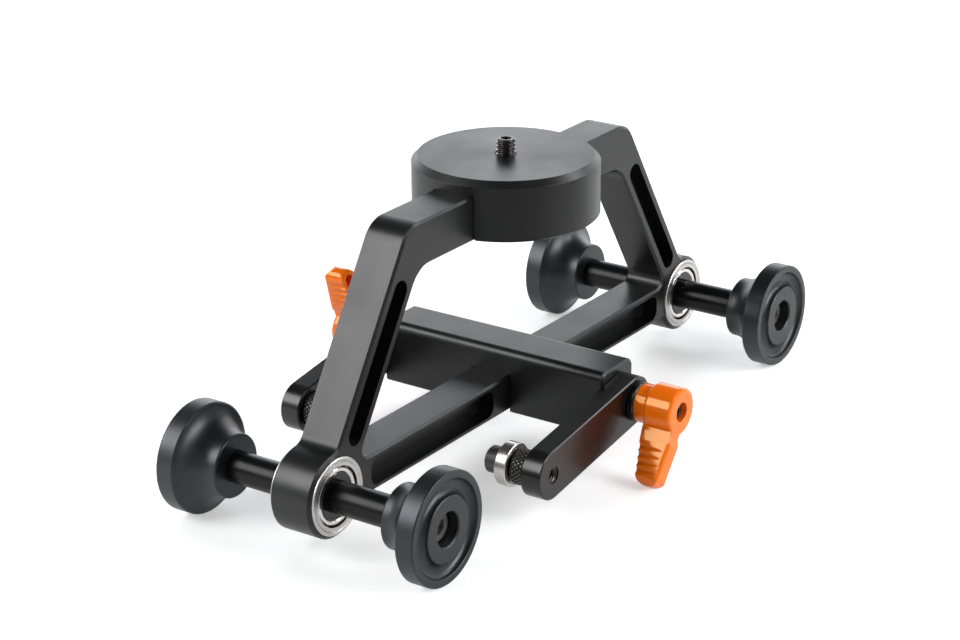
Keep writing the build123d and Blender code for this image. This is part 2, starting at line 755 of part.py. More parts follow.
def spline_outline(gap):
    """A ring of square teeth, grown all round by a gap."""
    Circle(SPLINE_ROOT + gap)
    with PolarLocations(SPLINE_ROOT, SPLINE_TEETH):
        Rectangle(2 * (SPLINE_DEPTH + gap), SPLINE_TOOTH + 2 * gap)


def clamp_insert(side):
    """The steel core of the clamp: stud, flange, spline and tapped post."""
    face = lever_face_plane(side)
    stud_length = ARM_THICKNESS + 2 * RUNNING_GAP + CLAMP_STUD_GRIP
    with BuildPart() as insert:
        with BuildSketch(face):
            Circle(FLANGE_RADIUS)
        extrude(amount=FLANGE_END)
        chamfer(edges().filter_by(GeomType.CIRCLE), length=0.3)
        with BuildSketch(face):
            Circle(CLAMP_STUD_RADIUS)
        extrude(amount=-stud_length)
        with BuildSketch(face.offset(FLANGE_END)):
            spline_outline(0)
        extrude(amount=SPLINE_END - FLANGE_END)
        with BuildSketch(face.offset(SPLINE_END)):
            Circle(POST_RADIUS)
        extrude(amount=POST_END - SPLINE_END)
        with BuildSketch(face.offset(POST_END)):
            Circle(LEVER_SCREW_RADIUS)
        extrude(amount=-(POST_END - 1.0), mode=Mode.SUBTRACT)
    return insert.part


def clamp_handle(side):
    """The orange handle: a splined hub, a narrow neck and a hollow ribbed grip."""
    section = lever_section_plane(side)
    face = lever_face_plane(side)
    half = LEVER_HALF_THICKNESS
    with BuildPart() as handle:
        # grip and neck, seen from the side
        with BuildSketch(section):
            with BuildLine():
                Polyline(
                    (5.9, 3.0),
                    (5.9, 8.0),
                    (8.9, LEVER_REACH),
                    (GRIP_TIP_OUTER, LEVER_REACH),
                    (GRIP_SHOULDER, GRIP_START),
                    (HANDLE_END, 8.6),
                    (HANDLE_END, 3.0),
                    close=True,
                )
            make_face()
            fillet(vertices().group_by(Axis.Y)[-1], radius=3.2)
            fillet(vertices().sort_by(Axis.X)[-1], radius=2.0)
        extrude(amount=half, both=True)
        # grip and neck, seen along the clamp's axis, with a fully rounded tip
        with BuildSketch(face):
            with BuildLine():
                Polyline(
                    (half, LEVER_REACH - half),
                    (half, GRIP_START),
                    (NECK_HALF_THICKNESS, NECK_START),
                    (NECK_HALF_THICKNESS, 0),
                    (-NECK_HALF_THICKNESS, 0),
                    (-NECK_HALF_THICKNESS, NECK_START),
                    (-half, GRIP_START),
                    (-half, LEVER_REACH - half),
                )
                ThreePointArc(
                    (-half, LEVER_REACH - half), (0, LEVER_REACH), (half, LEVER_REACH - half)
                )
            make_face()
        extrude(amount=2 * HANDLE_END, mode=Mode.INTERSECT)
        # rounded long edges of the outer face, swept along that face
        outward = section.x_dir * (GRIP_TIP_OUTER - GRIP_SHOULDER)
        along = outward + section.y_dir * (LEVER_REACH - GRIP_START)
        shoulder = section.from_local_coords((GRIP_SHOULDER, GRIP_START, 0))
        with BuildSketch(Plane(origin=shoulder, x_dir=face.x_dir, z_dir=along)):
            with Locations((0, HANDLE_END)):
                Rectangle(2 * half, 2 * HANDLE_END)
            fillet(vertices().group_by(Axis.Y)[0], radius=GRIP_EDGE)
        extrude(amount=2 * LEVER_REACH, both=True, mode=Mode.INTERSECT)
        # hub
        with BuildSketch(section):
            with BuildLine():
                Polyline(
                    (HANDLE_START, 0),
                    (HANDLE_START, COLLAR_RADIUS - 0.3),
                    (HANDLE_START + 0.3, COLLAR_RADIUS),
                    (HUB_START - 0.8, COLLAR_RADIUS),
                    (HUB_START, HUB_RADIUS - 0.4),
                    (HUB_START + 0.4, HUB_RADIUS),
                    (HANDLE_END - 0.9, HUB_RADIUS),
                    (HANDLE_END - 0.25, HUB_RADIUS - 0.25),
                    (HANDLE_END, HUB_RADIUS - 0.9),
                    (HANDLE_END, 0),
                    close=True,
                )
            make_face()
        revolve(axis=Axis(section.origin, section.x_dir))
        # hollow of the grip, open towards the arm
        hollow_width = 2 * (half - LEVER_WALL)
        hollow_start = GRIP_START + 0.6
        hollow_end = LEVER_REACH - LEVER_TIP_WALL
        with BuildSketch(face.offset(GRIP_OUTER_WALL)):
            with Locations((0, (hollow_start + hollow_end) / 2)):
                SlotOverall(hollow_end - hollow_start, hollow_width, rotation=90)
        extrude(amount=-GRIP_OUTER_WALL, mode=Mode.SUBTRACT)
        # finger grooves across both flanks of the grip
        groove_height = half + GROOVE_STANDOFF
        for step in range(GROOVE_COUNT):
            reach = GROOVE_START + GROOVE_PITCH * step
            groove_ends = [
                Plane(origin=face.from_local_coords((x, reach, GROOVE_FLOOR)), z_dir=face.z_dir)
                for x in (-groove_height, groove_height)
            ]
            with Locations(*groove_ends):
                Cone(
                    GROOVE_RADIUS,
                    GROOVE_END_RADIUS,
                    GRIP_SHOULDER - GROOVE_FLOOR,
                    align=(Align.CENTER, Align.CENTER, Align.MIN),
                    mode=Mode.SUBTRACT,
                )
        # spline, bore over the post, hole in the web, and the mouth for spring and screw
        with BuildSketch(face.offset(HANDLE_START)):
            spline_outline(SPLINE_GAP)
        extrude(amount=SPLINE_END - HANDLE_START, mode=Mode.SUBTRACT)
        with BuildSketch(face.offset(SPLINE_END)):
            Circle(SPLINE_ROOT + SPLINE_GAP)
        extrude(amount=HANDLE_WEB_START - SPLINE_END, mode=Mode.SUBTRACT)
        with BuildSketch(face.offset(HANDLE_WEB_START)):
            Circle(LEVER_SCREW_RADIUS + 0.4)
        extrude(amount=HANDLE_WEB_END - HANDLE_WEB_START, mode=Mode.SUBTRACT)
        with BuildSketch(face.offset(HANDLE_WEB_END)):
            Circle(MOUTH_RADIUS)
        extrude(amount=HANDLE_END, mode=Mode.SUBTRACT)
    return handle.part


def clamp_spring(side):
    """The spring that holds the handle down on the spline."""
    wire = 0.25
    turns = 3
    height = SPRING_END - HANDLE_WEB_END - 2 * wire - 0.04
    start = clamp_origin(side) + clamp_axis(side) * (HANDLE_WEB_END + wire + 0.02)
    with BuildPart() as spring:
        with BuildLine():
            coil = Helix(height / turns, height, 2.3, center=start, direction=clamp_axis(side))
        with BuildSketch(Plane(origin=coil @ 0, z_dir=coil % 0)):
            Circle(wire)
        sweep()
    return spring.part


for side in SIDE:
    out = clamp_axis(side)
    screw_seat = clamp_origin(side) + out * SPRING_END
    save(clamp_insert(side), f"clamp_insert_{side}")
    save(clamp_handle(side), f"clamp_handle_{side}")
    save(clamp_spring(side), f"clamp_spring_{side}")
    save(
        socket_screw(screw_seat, out, 2.75, 2.2, LEVER_SCREW_RADIUS, SPRING_END - 3.0, 2.5),
        f"clamp_screw_{side}",
    )

save(main_frame.part, "main_frame")
save(platform.part, "platform")
save(platform_screws, "platform_screws")
save(camera_stud.part, "camera_stud")
save(cross_bar.part, "cross_bar")
save(cross_bar_screws, "cross_bar_screws")
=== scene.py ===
import math

import bpy
from mathutils import Matrix, Vector

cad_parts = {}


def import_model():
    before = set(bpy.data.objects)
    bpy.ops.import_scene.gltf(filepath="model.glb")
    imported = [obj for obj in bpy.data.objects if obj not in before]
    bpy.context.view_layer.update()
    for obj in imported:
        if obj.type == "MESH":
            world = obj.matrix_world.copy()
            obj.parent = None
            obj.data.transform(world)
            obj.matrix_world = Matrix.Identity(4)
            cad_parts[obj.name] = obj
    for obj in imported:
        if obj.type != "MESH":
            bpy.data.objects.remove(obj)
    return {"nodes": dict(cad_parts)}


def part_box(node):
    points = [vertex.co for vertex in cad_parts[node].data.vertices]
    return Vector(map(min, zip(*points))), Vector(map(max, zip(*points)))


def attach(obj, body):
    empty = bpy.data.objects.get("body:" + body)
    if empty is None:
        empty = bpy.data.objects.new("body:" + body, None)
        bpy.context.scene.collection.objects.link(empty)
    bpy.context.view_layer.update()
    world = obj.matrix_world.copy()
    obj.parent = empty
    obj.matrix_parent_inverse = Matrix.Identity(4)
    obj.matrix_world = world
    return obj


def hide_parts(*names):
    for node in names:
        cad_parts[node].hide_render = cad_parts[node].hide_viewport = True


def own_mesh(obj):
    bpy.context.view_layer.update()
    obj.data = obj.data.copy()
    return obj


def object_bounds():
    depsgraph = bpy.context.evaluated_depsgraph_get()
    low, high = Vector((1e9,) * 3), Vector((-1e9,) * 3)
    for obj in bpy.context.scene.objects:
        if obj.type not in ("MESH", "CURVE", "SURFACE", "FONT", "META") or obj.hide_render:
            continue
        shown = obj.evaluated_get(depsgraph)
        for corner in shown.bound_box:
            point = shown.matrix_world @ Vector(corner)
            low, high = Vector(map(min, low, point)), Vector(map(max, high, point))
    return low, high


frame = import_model()
cad_low, cad_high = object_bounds()
nodes = frame["nodes"]

MM = 0.001
TURN = 2 * math.pi
SIDE = {"left": 1, "right": -1}

# ---- shader building ----------------------------------------------------------------


class Shader:
    """A material and its node tree, with short calls for the nodes the finishes share."""

    def __init__(self, name):
        self.material = bpy.data.materials.new(name)
        self.material.use_nodes = True
        self.tree = self.material.node_tree
        self.surface = self.tree.nodes["Principled BSDF"]
        coordinates = self.tree.nodes.new("ShaderNodeTexCoord")
        self.position = coordinates.outputs["Object"]

    def node(self, kind, settings=None, **inputs):
        made = self.tree.nodes.new(kind)
        for key, value in (settings or {}).items():
            setattr(made, key, value)
        for key, value in inputs.items():
            self.put(made.inputs[key.replace("_", " ")], value)
        return made

    def put(self, socket, value):
        if isinstance(value, bpy.types.NodeSocket):
            self.tree.links.new(value, socket)
        else:
            socket.default_value = value

    def math(self, operation, a, b=0.0):
        made = self.tree.nodes.new("ShaderNodeMath")
        made.operation = operation
        self.put(made.inputs[0], a)
        self.put(made.inputs[1], b)
        return made.outputs[0]

    def remap(self, value, low, high, to_low, to_high):
        made = self.node("ShaderNodeMapRange")
        for socket, number in zip(made.inputs[:5], (value, low, high, to_low, to_high)):
            self.put(socket, number)
        return made.outputs[0]

    def noise(self, scale, detail=2.0, roughness=0.5, vector=None):
        made = self.node("ShaderNodeTexNoise", Scale=scale, Detail=detail, Roughness=roughness)
        self.put(made.inputs["Vector"], vector or self.position)
        return made.outputs["Fac"]

    def mix_colour(self, share, first, second):
        made = self.node("ShaderNodeMix", {"data_type": "RGBA"})
        self.put(made.inputs["Factor"], share)
        self.put(made.inputs[6], first)
        self.put(made.inputs[7], second)
        return made.outputs[2]

    def round_about_y(self, centre_x, centre_z):
        """(distance from an axis along Y, position along it, 0): the same all the way round.
        The distance is to the nearer of two axes, at plus and minus centre_x."""
        parts = self.node("ShaderNodeSeparateXYZ", Vector=self.position)
        across = self.math("SUBTRACT", self.math("ABSOLUTE", parts.outputs[0]), abs(centre_x))
        up = self.math("SUBTRACT", parts.outputs[2], centre_z)
        squares = [self.math("POWER", offset, 2.0) for offset in (across, up)]
        radius = self.math("SQRT", self.math("ADD", *squares))
        joined = self.node("ShaderNodeCombineXYZ", X=radius, Y=parts.outputs[1])
        return joined.outputs[0]

    def round_about_z(self):
        """(distance from the Z axis, height, 0)."""
        parts = self.node("ShaderNodeSeparateXYZ", Vector=self.position)
        squares = [self.math("POWER", parts.outputs[i], 2.0) for i in (0, 1)]
        radius = self.math("SQRT", self.math("ADD", *squares))
        joined = self.node("ShaderNodeCombineXYZ", X=radius, Y=parts.outputs[2])
        return joined.outputs[0]

    def edges(self, radius):
        """(softened normal, mask that is 1 on corners) from rounding corners by a radius."""
        softened = self.node("ShaderNodeBevel", {"samples": 4}, Radius=radius)
        plain = self.node("ShaderNodeNewGeometry")
        dot = self.node("ShaderNodeVectorMath", {"operation": "DOT_PRODUCT"})
        self.put(dot.inputs[0], softened.outputs[0])
        self.put(dot.inputs[1], plain.outputs["Normal"])
        mask = self.remap(dot.outputs["Value"], 0.995, 0.80, 0.0, 1.0)
        return softened.outputs[0], mask

    def bump(self, height, strength, distance, normal=None):
        made = self.node("ShaderNodeBump", Height=height, Strength=strength, Distance=distance)
        if normal is not None:
            self.put(made.inputs["Normal"], normal)
        return made.outputs[0]

    def finish(self, **inputs):
        for key, value in inputs.items():
            self.put(self.surface.inputs[key.replace("_", " ")], value)
        return self.material


def grey(value, warm=0.0):
    """An opaque grey, redder for a positive warm and bluer for a negative one."""
    return (value * (1 + warm), value, value * (1 - warm), 1.0)


# ---- places that the finishes and the new pieces are built from ----------------------


def middle(node):
    low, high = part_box(node)
    return (low + high) / 2


axle_centre = middle("front_axle")
roller_centre = middle("roller_outer_ring_left")

# ---- finishes -----------------------------------------------------------------------


def anodised(
    name,
    shade=0.003,
    rough=0.36,
    grain=1.0,
    warm=-0.03,
    shine=0.5,
    tint=(1.0, 1.0, 1.0, 1.0),
    lines=None,
    anisotropic=0.0,
    axis="Z",
):
    """Black anodised aluminium: a satin skin over a bead-blasted grain, with turning lines too
    where lines is given, a little cloudy, smoother along its corners and with a painted highlight there."""
    shader = Shader(name)
    soft, corner = shader.edges(0.12 * MM)
    cloud = shader.noise(scale=70.0, detail=3.0)
    speck = shader.noise(scale=2600.0, detail=2.0, roughness=0.6)
    base = shader.mix_colour(cloud, grey(shade * 0.8, warm), grey(shade * 1.25, warm))
    # painted highlight: the corners' colour is lightened towards a grey
    base = shader.mix_colour(shader.math("MULTIPLY", corner, 0.3), base, grey(0.02))
    cloudy = 0.03
    uneven = 0.03 * min(1.0, grain)
    roughness = shader.math("ADD", shader.remap(cloud, 0.3, 0.7, -cloudy, cloudy), rough)
    roughness = shader.math("ADD", roughness, shader.remap(speck, 0.35, 0.65, -uneven, uneven))
    roughness = shader.math("SUBTRACT", roughness, shader.math("MULTIPLY", corner, 0.08))
    normal = shader.bump(speck, strength=0.16 * grain, distance=0.02 * MM, normal=soft)
    inputs = {}
    if lines is not None:
        rings = shader.noise(scale=5200.0, detail=2.0, roughness=0.65, vector=lines(shader))
        normal = shader.bump(rings, strength=0.10, distance=0.01 * MM, normal=normal)
        if anisotropic:
            tangent = shader.node("ShaderNodeTangent", {"direction_type": "RADIAL", "axis": axis})
            inputs = {"Anisotropic": anisotropic, "Tangent": tangent.outputs[0]}
    return shader.finish(
        Base_Color=base,
        Roughness=roughness,
        Normal=normal,
        Specular_IOR_Level=shine,
        Specular_Tint=tint,
        **inputs,
    )


def bright_steel(name, lines, shade=0.60, rough=0.22, line_bump=0.10, anisotropic=0.35):
    """Ground bearing steel: circular grinding lines and a slightly warm, uneven brightness."""
    shader = Shader(name)
    soft, _ = shader.edges(0.08 * MM)
    rings = shader.noise(scale=6500.0, detail=2.0, roughness=0.6, vector=lines(shader))
    cloud = shader.noise(scale=260.0, detail=2.0)
    base = shader.mix_colour(cloud, grey(shade * 0.88, 0.02), grey(shade * 1.08, 0.02))
    roughness = shader.math("ADD", shader.remap(rings, 0.3, 0.7, -0.05, 0.06), rough)
    normal = shader.bump(rings, strength=line_bump, distance=0.008 * MM, normal=soft)
    tangent = shader.node("ShaderNodeTangent", {"direction_type": "RADIAL", "axis": "Y"})
    return shader.finish(
        Base_Color=base,
        Metallic=1.0,
        Roughness=roughness,
        Normal=normal,
        Anisotropic=anisotropic,
        Tangent=tangent.outputs[0],
    )


def black_oxide(name, shade=0.045, rough=0.36, metallic=0.85, grain=0.25, tip_highlight_radius=None):
    """Oiled black steel: dark, faintly mottled, with a painted highlight on its corners and, where
    a radius is given, on whatever lies further than about that from the rollers' axis."""
    shader = Shader(name)
    soft, corner = shader.edges(0.10 * MM)
    mottle = shader.noise(scale=900.0, detail=4.0, roughness=0.65)
    base = shader.mix_colour(mottle, grey(shade * 0.55, 0.04), grey(shade * 1.5, 0.06))
    # painted highlight: the corners' colour is lightened towards a grey
    base = shader.mix_colour(shader.math("MULTIPLY", corner, 0.4), base, grey(0.25, 0.03))
    # painted highlight on the knurl's tips: lightened towards a grey beyond the given radius
    if tip_highlight_radius is not None:
        around = shader.round_about_y(roller_centre.x, roller_centre.z)
        radius = shader.node("ShaderNodeSeparateXYZ", Vector=around).outputs[0]
        tip_highlight_depth = 0.22 * MM
        tip_highlight = shader.remap(radius, tip_highlight_radius - tip_highlight_depth, tip_highlight_radius, 0.0, 0.9)
        base = shader.mix_colour(tip_highlight, base, grey(0.22, 0.02))
    roughness = shader.remap(mottle, 0.3, 0.7, rough - 0.08, rough + 0.12)
    normal = shader.bump(mottle, strength=grain, distance=0.02 * MM, normal=soft)
    return shader.finish(Base_Color=base, Metallic=metallic, Roughness=roughness, Normal=normal)


def orange_plastic(name):
    """Smooth glossy moulded plastic, faintly uneven, with a painted highlight along its corners."""
    shader = Shader(name)
    soft, corner = shader.edges(0.35 * MM)
    deep_orange = (0.90, 0.155, 0.002, 1.0)
    light_orange = (0.96, 0.180, 0.003, 1.0)
    corner_highlight_orange = (0.95, 0.22, 0.010, 1.0)
    cloud = shader.noise(scale=120.0, detail=2.0)
    ripple = shader.noise(scale=420.0, detail=2.0, roughness=0.4)
    base = shader.mix_colour(cloud, deep_orange, light_orange)
    # painted highlight: the corners' colour is lightened towards a paler orange
    base = shader.mix_colour(shader.math("MULTIPLY", corner, 0.25), base, corner_highlight_orange)
    roughness = shader.remap(cloud, 0.3, 0.7, 0.09, 0.13)
    normal = shader.bump(ripple, strength=0.05, distance=0.08 * MM, normal=soft)
    return shader.finish(
        Base_Color=base,
        Roughness=roughness,
        Normal=normal,
        Subsurface_Weight=0.08,
        Subsurface_Radius=(1.0, 0.3, 0.1),
        Subsurface_Scale=0.0008,
        Specular_IOR_Level=0.8,
        Specular_Tint=(1.0, 0.74, 0.36, 1.0),
    )


def stamped_metal(name, colour, rough):
    """Pressed sheet or drawn wire, for the cages and springs."""
    shader = Shader(name)
    soft, _ = shader.edges(0.05 * MM)
    mottle = shader.noise(scale=1500.0, detail=3.0)
    darker = tuple(0.8 * c for c in colour) + (1.0,)
    base = shader.mix_colour(mottle, darker, tuple(colour) + (1.0,))
    roughness = shader.remap(mottle, 0.3, 0.7, rough - 0.06, rough + 0.08)
    normal = shader.bump(mottle, strength=0.15, distance=0.02 * MM, normal=soft)
    return shader.finish(Base_Color=base, Metallic=1.0, Roughness=roughness, Normal=normal)


# ---- which finish goes where ----------------------------------------------------------


def about(centre):
    """Turning lines round a Y axis through a centre."""
    return lambda shader: shader.round_about_y(centre.x, centre.z)


KNURL_TIPS = 5.72 * MM  # how far from the rollers' axis the knurl's tips get a painted highlight

FINISH = {
    "frame": anodised("frame_anodised", rough=0.36, grain=3.0),
    "platform": anodised(
        "platform_anodised", rough=0.34, grain=0.6, lines=Shader.round_about_z, anisotropic=0.3, axis="Z"
    ),
    "arm": anodised("arm_anodised", shade=0.003, rough=0.25, grain=0.05, warm=0.05),
    "wheel": anodised(
        "wheel_anodised",
        shade=0.005,
        rough=0.36,
        grain=1.2,
        warm=-0.08,
        shine=0.60,
        tint=(0.90, 0.93, 1.0, 1.0),
        lines=about(axle_centre),
        anisotropic=0.3,
        axis="Y",
    ),
    "axle": anodised(
        "axle_black", shade=0.002, rough=0.30, grain=0.2, shine=0.22, lines=about(axle_centre)
    ),
    "bush": anodised("bush_black", shade=0.003, rough=0.13, grain=0.1, lines=about(axle_centre)),
    "ring": bright_steel("bearing_ring_steel", about(axle_centre), shade=0.60, rough=0.34),
    "bright_ring": bright_steel(
        "bearing_inner_ring_steel", about(axle_centre), shade=0.78, rough=0.14, line_bump=0.05
    ),
    "shield": bright_steel("bearing_shield_steel", about(axle_centre), shade=0.60, rough=0.30),
    "roller": bright_steel(
        "roller_ring_steel", about(roller_centre), shade=0.60, rough=0.27, line_bump=0.004, anisotropic=0.0
    ),
    "black_steel": black_oxide("black_oxide_steel", shade=0.07),
    # painted light: the wheel screws are a lighter black oxide than the other screws, standing in for the
    # brighter light on their heads
    "wheel_screw": black_oxide("wheel_screw_steel", shade=0.20, rough=0.42),
    "knurl": black_oxide("knurled_black_steel", shade=0.02, rough=0.32, tip_highlight_radius=KNURL_TIPS),
    "roller_screw": black_oxide("roller_screw_steel", shade=0.10, rough=0.40, grain=0.8),
    "stud": black_oxide("stud_black_nickel", shade=0.09, rough=0.24, metallic=1.0),
    "orange": orange_plastic("handle_orange"),
    "cage": stamped_metal("cage_steel", (0.16, 0.155, 0.15), 0.35),
    "spring": stamped_metal("spring_wire", (0.52, 0.52, 0.53), 0.25),
}

# the first of these that a node's name starts with decides its finish
FINISH_OF_NODE = {
    "main_frame": "frame",
    "cross_bar_screws": "black_steel",
    "cross_bar": "frame",
    "platform_screws": "black_steel",
    "platform": "platform",
    "keeper_arm": "arm",
    "wheel_": "wheel",
    "front_wheel_screws": "wheel_screw",
    "rear_wheel_screws": "wheel_screw",
    "front_axle_sleeve": "bush",
    "rear_axle_sleeve": "bush",
    "front_axle": "axle",
    "rear_axle": "axle",
    "bearing_cage": "cage",
    "bearing_shields": "shield",
    "bearing_inner_ring": "bright_ring",
    "bearing_": "ring",
    "roller_shields": "shield",
    "roller_screw": "roller_screw",
    "roller_": "roller",
    "knurled_spacer": "knurl",
    "camera_stud": "stud",
    "clamp_handle": "orange",
    "clamp_spring": "spring",
    "clamp_insert": "arm",
    "clamp_": "black_steel",
}


def finish_for(node):
    for start, finish in FINISH_OF_NODE.items():
        if node.startswith(start):
            return FINISH[finish]
    raise ValueError(f"no finish for {node}")


for name, cad in nodes.items():
    cad.data.materials.clear()
    cad.data.materials.append(finish_for(name))

# ---- new pieces ---------------------------------------------------------------------


def new_piece(name, vertices, faces, finish, body, smooth_angle=35.0):
    """A mesh piece in the row frame, smooth except across sharp corners, riding on a body."""
    mesh = bpy.data.meshes.new(name)
    mesh.from_pydata(vertices, [], faces)
    mesh.validate()
    mesh.shade_smooth()
    mesh.set_sharp_from_angle(angle=math.radians(smooth_angle))
    mesh.materials.append(FINISH[finish])
    piece = bpy.data.objects.new(name, mesh)
    bpy.context.scene.collection.objects.link(piece)
    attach(piece, body)
    return piece


def skin(rings, centre_start, centre_end):
    """Vertices and faces of a closed tube through rings of equal point counts."""
    count = len(rings[0])
    vertices = [centre_start] + [point for ring in rings for point in ring] + [centre_end]
    faces = []
    for i in range(count):
        j = (i + 1) % count
        faces.append((0, 1 + j, 1 + i))
        for k in range(len(rings) - 1):
            low, high = 1 + k * count, 1 + (k + 1) * count
            faces.append((low + i, low + j, high + j, high + i))
        last = 1 + (len(rings) - 1) * count
        faces.append((last + i, last + j, len(vertices) - 1))
    return vertices, faces


def closed_skin(rings, flipped):
    """Vertices and faces of a ring-shaped skin, whose last ring joins the first. Which way the
    faces look depends on the order of the rings and of their points, and flipped turns it."""
    count = len(rings[0])
    vertices = [point for ring in rings for point in ring]
    faces = []
    for k in range(len(rings)):
        first, second = k * count, ((k + 1) % len(rings)) * count
        for i in range(count):
            j = (i + 1) % count
            face = (first + i, first + j, second + j, second + i)
            faces.append(face[::-1] if flipped else face)
    return vertices, faces


def ring_points(base, axis, first, second, along, radius_at, count):
    """One ring: points round an axis at a distance along it, at a radius for each angle."""
    centre = base + axis * along
    points = []
    for i in range(count):
        angle = TURN * i / count
        direction = first * math.cos(angle) + second * math.sin(angle)
        points.append(centre + direction * radius_at(angle))
    return points


def hexagon(apothem):
    """The radius of a hexagon at an angle."""
    return lambda angle: apothem / math.cos((angle + math.pi / 6) % (math.pi / 3) - math.pi / 6)


def thread_depth(phase):
    """0 at the crest and 1 at the root of a 60 degree thread, for a phase from 0 to 1."""
    half_crest = 0.08
    slope = 0.30
    return min(1.0, max(0.0, (abs(phase - 0.5) - half_crest) / slope))


def camera_stud():
    """A 1/4 inch, 20 threads to the inch, socket set screw with a chamfered tip."""
    low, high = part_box("camera_stud")
    platform_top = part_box("platform")[1].z
    tip = high.z
    major = (high.x - low.x) / 2
    pitch = 25.4 / 20 * MM
    depth = 0.55 * MM
    chamfer = 0.75 * MM
    thread_start = platform_top - 1.3 * MM
    socket_apothem = 1.6 * MM
    socket_lead_in = 0.12 * MM
    socket_depth = 1.2 * MM
    drill_point_depth = 1.7 * MM
    count = 72
    steps = 150

    def surface(z):
        tip_limit = major - chamfer + (tip - z)

        def radius(angle):
            phase = ((z - thread_start) / pitch - angle / TURN) % 1.0
            return min(major - depth * thread_depth(phase), tip_limit)

        return radius

    x, y, up = Vector((1, 0, 0)), Vector((0, 1, 0)), Vector((0, 0, 1))
    around = (Vector((0, 0, 0)), up, x, y)
    rings = [ring_points(*around, low.z, lambda a: major - depth, count)]
    for i in range(steps + 1):
        z = thread_start + (tip - thread_start) * i / steps
        rings.append(ring_points(*around, z, surface(z), count))
    socket = hexagon(socket_apothem)
    rim = tip - 0.02 * MM
    rings.append(ring_points(*around, rim, lambda a: socket(a) + socket_lead_in, count))
    rings.append(ring_points(*around, rim - socket_lead_in, socket, count))
    rings.append(ring_points(*around, tip - socket_depth, socket, count))
    drill_point = Vector((0, 0, tip - drill_point_depth))
    vertices, faces = skin(rings, Vector((0, 0, low.z)), drill_point)
    piece = new_piece("camera_stud_thread", vertices, faces, "stud", "frame", 30.0)
    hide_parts("camera_stud")


def knurled_spacer(side):
    """The spacer between arm and roller, with a diamond knurl rolled round it."""
    node = f"knurled_spacer_{side}"
    low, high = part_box(node)
    sign = SIDE[side]
    centre = middle(node)
    length = high.y - low.y
    outer = (high.x - low.x) / 2
    inward = Vector((0, -sign, 0))
    arm_face = Vector((centre.x, high.y if sign > 0 else low.y, centre.z))
    across, up = Vector((1, 0, 0)), Vector((0, 0, 1))
    diamonds = 26
    depth = 0.50 * MM
    knurl_pitch = TURN * outer / diamonds
    stretch = 1.25  # a diamond's length over its width
    tip_height = 1.9  # where the slopes would meet if the tips weren't flat, over the depth
    knurl_end = length - 0.7 * MM
    run_out = 0.4 * MM
    count = diamonds * 8
    bore = 2.55 * MM
    shoulder = 3.5 * MM

    def triangle(value):
        return abs(2 * (value % 1.0) - 1)

    def knurl(along):
        fade = min(1.0, along / run_out, (knurl_end - along) / run_out)

        def radius(angle):
            turns = angle / TURN * diamonds
            lean = along / knurl_pitch / stretch
            height = min(triangle(turns + lean), triangle(turns - lean))
            height = min(1.0, height * tip_height)
            return outer - depth * (1 - max(0.0, fade) * height)

        return radius

    around = (arm_face, inward, across, up)
    rings = [ring_points(*around, 0.0, lambda a: bore, count)]
    rings.append(ring_points(*around, 0.0, lambda a: outer - depth, count))
    steps = 44
    knurl_start = 0.02 * MM
    for i in range(steps + 1):
        along = knurl_start + (knurl_end - knurl_start) * i / steps
        rings.append(ring_points(*around, along, knurl(along), count))
    rings.append(ring_points(*around, knurl_end + 0.3 * MM, lambda a: shoulder, count))
    rings.append(ring_points(*around, length, lambda a: shoulder, count))
    rings.append(ring_points(*around, length, lambda a: bore, count))
    vertices, faces = closed_skin(rings, flipped=sign < 0)
    body = f"keeper_arm_{side}"
    piece = new_piece(f"diamond_knurl_{side}", vertices, faces, "knurl", body, 20.0)
    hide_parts(node)


def arm_thread(side):
    """The last turns of the tapped hole that shows in the arm's outer face."""
    arm_low, arm_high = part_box(f"keeper_arm_{side}")
    centre = middle(f"roller_screw_{side}")
    sign = SIDE[side]
    face_y = arm_high.y if sign > 0 else arm_low.y
    wall = 2.49 * MM  # just inside the hole's own wall
    root = 2.46 * MM
    crest = 2.08 * MM
    pitch = 0.8 * MM
    depth = 1.9 * MM
    start = 0.50 * MM
    count = 48
    steps = 30
    inward = Vector((0, -sign, 0))
    base = Vector((centre.x, face_y, centre.z))
    around = (base, inward, Vector((1, 0, 0)), Vector((0, 0, 1)))
    root_phase = 0.42  # how far from the crest the thread reaches its root, in turns

    def thread(along):
        def radius(angle):
            phase = (along / pitch - angle / TURN) % 1.0
            return crest + (root - crest) * min(1.0, abs(phase - 0.5) / root_phase)

        return radius

    rings = [ring_points(*around, start, lambda a: wall, count)]
    for i in range(steps + 1):
        along = start + (depth - start) * i / steps
        rings.append(ring_points(*around, along, thread(along), count))
    rings.append(ring_points(*around, depth, lambda a: wall, count))
    vertices, faces = closed_skin(rings, flipped=sign > 0)
    body = f"keeper_arm_{side}"
    new_piece(f"arm_tapped_hole_{side}", vertices, faces, "black_steel", body, 40.0)


def handle_spring(side):
    """The coil spring inside a handle, which is pressed against its screw as the handle lifts."""
    node = f"clamp_spring_{side}"
    low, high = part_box(node)
    centre = middle(node)
    wire = 0.25 * MM
    wire_sides = 10
    turns = 3
    steps = turns * 28
    full_length = high.y - low.y
    coil_radius = (high.x - low.x) / 2 - wire
    y_axis = Vector((0, 1, 0))
    rings = []
    middles = []
    for step in range(steps + 1):
        angle = TURN * turns * step / steps
        radial = Vector((math.cos(angle), 0, math.sin(angle)))
        along = low.y + wire + (full_length - 2 * wire) * step / steps
        point = Vector((centre.x, along, centre.z)) + radial * coil_radius
        middles.append(point)
        rings.append(ring_points(point, y_axis, radial, y_axis, 0.0, lambda a: wire, wire_sides))
    vertices, faces = skin(rings, middles[0], middles[-1])
    body = f"clamp_{side}"
    piece = new_piece(f"handle_spring_{side}", vertices, faces, "spring", body)
    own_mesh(piece)
    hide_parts(node)


camera_stud()
for side in SIDE:
    knurled_spacer(side)
    arm_thread(side)
    handle_spring(side)

# ---- stage: floor, lights and camera --------------------------------------------------

